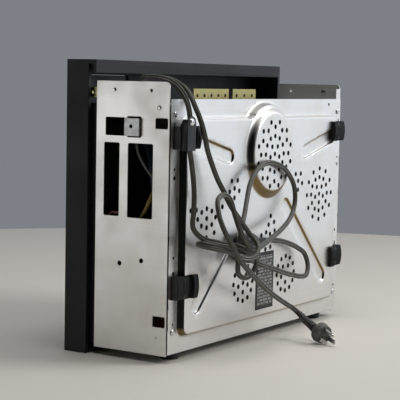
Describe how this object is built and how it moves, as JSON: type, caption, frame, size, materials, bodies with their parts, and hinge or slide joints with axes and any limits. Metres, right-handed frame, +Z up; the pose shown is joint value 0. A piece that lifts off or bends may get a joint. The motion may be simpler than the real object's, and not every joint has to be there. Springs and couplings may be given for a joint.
{
  "type": "wall oven",
  "caption": "Compact built-in oven with drop-down door, knob panel, perforated back panel with fan disc, and a mains lead looped over the back.",
  "frame": {"origin": "on the resting plane, half way across the fascia and half way between the handle's front and the cord outlet's rear", "axes": "+X towards the control side, -Y towards the front of the door, +Z up"},
  "size_m": [0.442, 0.2788, 0.356],
  "materials": {
    "black_paint": "satin black powder coat",
    "black_plastic": "moulded black plastic, satin",
    "aluminised": "bright aluminised sheet steel with faint rolling marks",
    "galvanised": "dull galvanised sheet",
    "passivated": "yellow passivated zinc plate",
    "enamel": "dark speckled vitreous enamel",
    "wool": "glass wool blanket",
    "seal": "matt silicone seal",
    "steel": "bright steel",
    "copper": "varnished copper windings and painted core",
    "board": "green solder mask",
    "blue_wire": "blue insulation",
    "red_wire": "red insulation",
    "dark_glass": "smoked toughened glass",
    "clear_glass": "clear lamp cover",
    "cord_sheath": "grey-brown ribbed sheath",
    "plug_grey": "dark grey moulded plug and strain relief"
  },
  "bodies": {
    "chassis": {"fascia_frame": "black_paint", "inner_frame": "black_paint", "door_seal": "seal", "side_plate_control": "aluminised", "side_plate_oven": "aluminised", "back_panel": "aluminised", "base_plate": "galvanised", "top_plate": "galvanised", "cavity_liner": "enamel", "insulation_blanket": "wool", "upper_element": "steel", "lower_element": "steel", "rack_rail_left": "steel", "rack_rail_right": "steel", "fan_housing": "galvanised", "fan_motor": "copper", "lamp_glass": "clear_glass", "thermostat_bulb": "copper", "hinge_bracket_left": "galvanised", "hinge_bracket_right": "galvanised", "control_panel": "black_plastic", "display_window": "dark_glass", "control_board": "board", "transformer": "copper", "terminal_block": "black_plastic", "wire_loom_power": "blue_wire", "wire_loom_signal": "red_wire", "side_clip_control": "galvanised", "side_clip_oven": "galvanised", "top_bracket_long": "passivated", "top_bracket_short": "passivated", "fixing_ear": "passivated", "spacer_top_left": "black_plastic", "spacer_top_right": "black_plastic", "spacer_bottom_left": "black_plastic", "spacer_bottom_right": "black_plastic", "rear_foot_left": "black_plastic", "rear_foot_right": "black_plastic", "cord_clip": "black_plastic", "cord_hub": "black_plastic", "strain_relief": "plug_grey", "cord_exit_loop": "cord_sheath", "cord_top_loop": "cord_sheath", "cord_ring": "cord_sheath", "cord_tail": "cord_sheath", "cord_hank": "cord_sheath", "plug": "plug_grey"},
    "door": {"door_frame": "black_paint", "door_glass": "dark_glass", "door_handle": "steel", "hinge_arm_left": "steel", "hinge_arm_right": "steel"},
    "rack_and_tray": {"rack": "steel", "tray": "enamel"},
    "fan": {"fan_impeller": "steel"},
    "function_dial": {"function_knob": "black_plastic"},
    "timer_dial": {"timer_knob": "black_plastic"},
    "first_button": {"button_1": "black_plastic"},
    "second_button": {"button_2": "black_plastic"},
    "third_button": {"button_3": "black_plastic"}
  },
  "joints": [
    {"name": "door_hinge", "type": "hinge", "parent": "chassis", "child": "door", "pos_m": [-0.057, -0.071, 0.03], "axis": [1, 0, 0], "range_deg": [0, 90]},
    {"name": "rack_slide", "type": "slide", "parent": "chassis", "child": "rack_and_tray", "axis": [0, -1, 0], "range_m": [0, 0.056]},
    {"name": "fan_spin", "type": "hinge", "parent": "chassis", "child": "fan", "pos_m": [0, 0.057, 0.2436], "axis": [0, 1, 0], "continuous": true},
    {"name": "function_knob_turn", "type": "hinge", "parent": "chassis", "child": "function_dial", "pos_m": [0.155, -0.085, 0.12], "axis": [0, 1, 0], "range_deg": [0, 300]},
    {"name": "timer_knob_turn", "type": "hinge", "parent": "chassis", "child": "timer_dial", "pos_m": [0.155, -0.085, 0.06], "axis": [0, 1, 0], "range_deg": [0, 330]},
    {"name": "button_1_press", "type": "slide", "parent": "chassis", "child": "first_button", "axis": [0, 1, 0], "range_m": [0, 0.0015], "stiffness_N_per_m": 300},
    {"name": "button_2_press", "type": "slide", "parent": "chassis", "child": "second_button", "axis": [0, 1, 0], "range_m": [0, 0.0015], "stiffness_N_per_m": 300},
    {"name": "button_3_press", "type": "slide", "parent": "chassis", "child": "third_button", "axis": [0, 1, 0], "range_m": [0, 0.0015], "stiffness_N_per_m": 300}
  ],
  "couplings": [
    {"joint": "rack_slide", "follows": "door_hinge", "m_per_rad": 0.035}
  ]
}
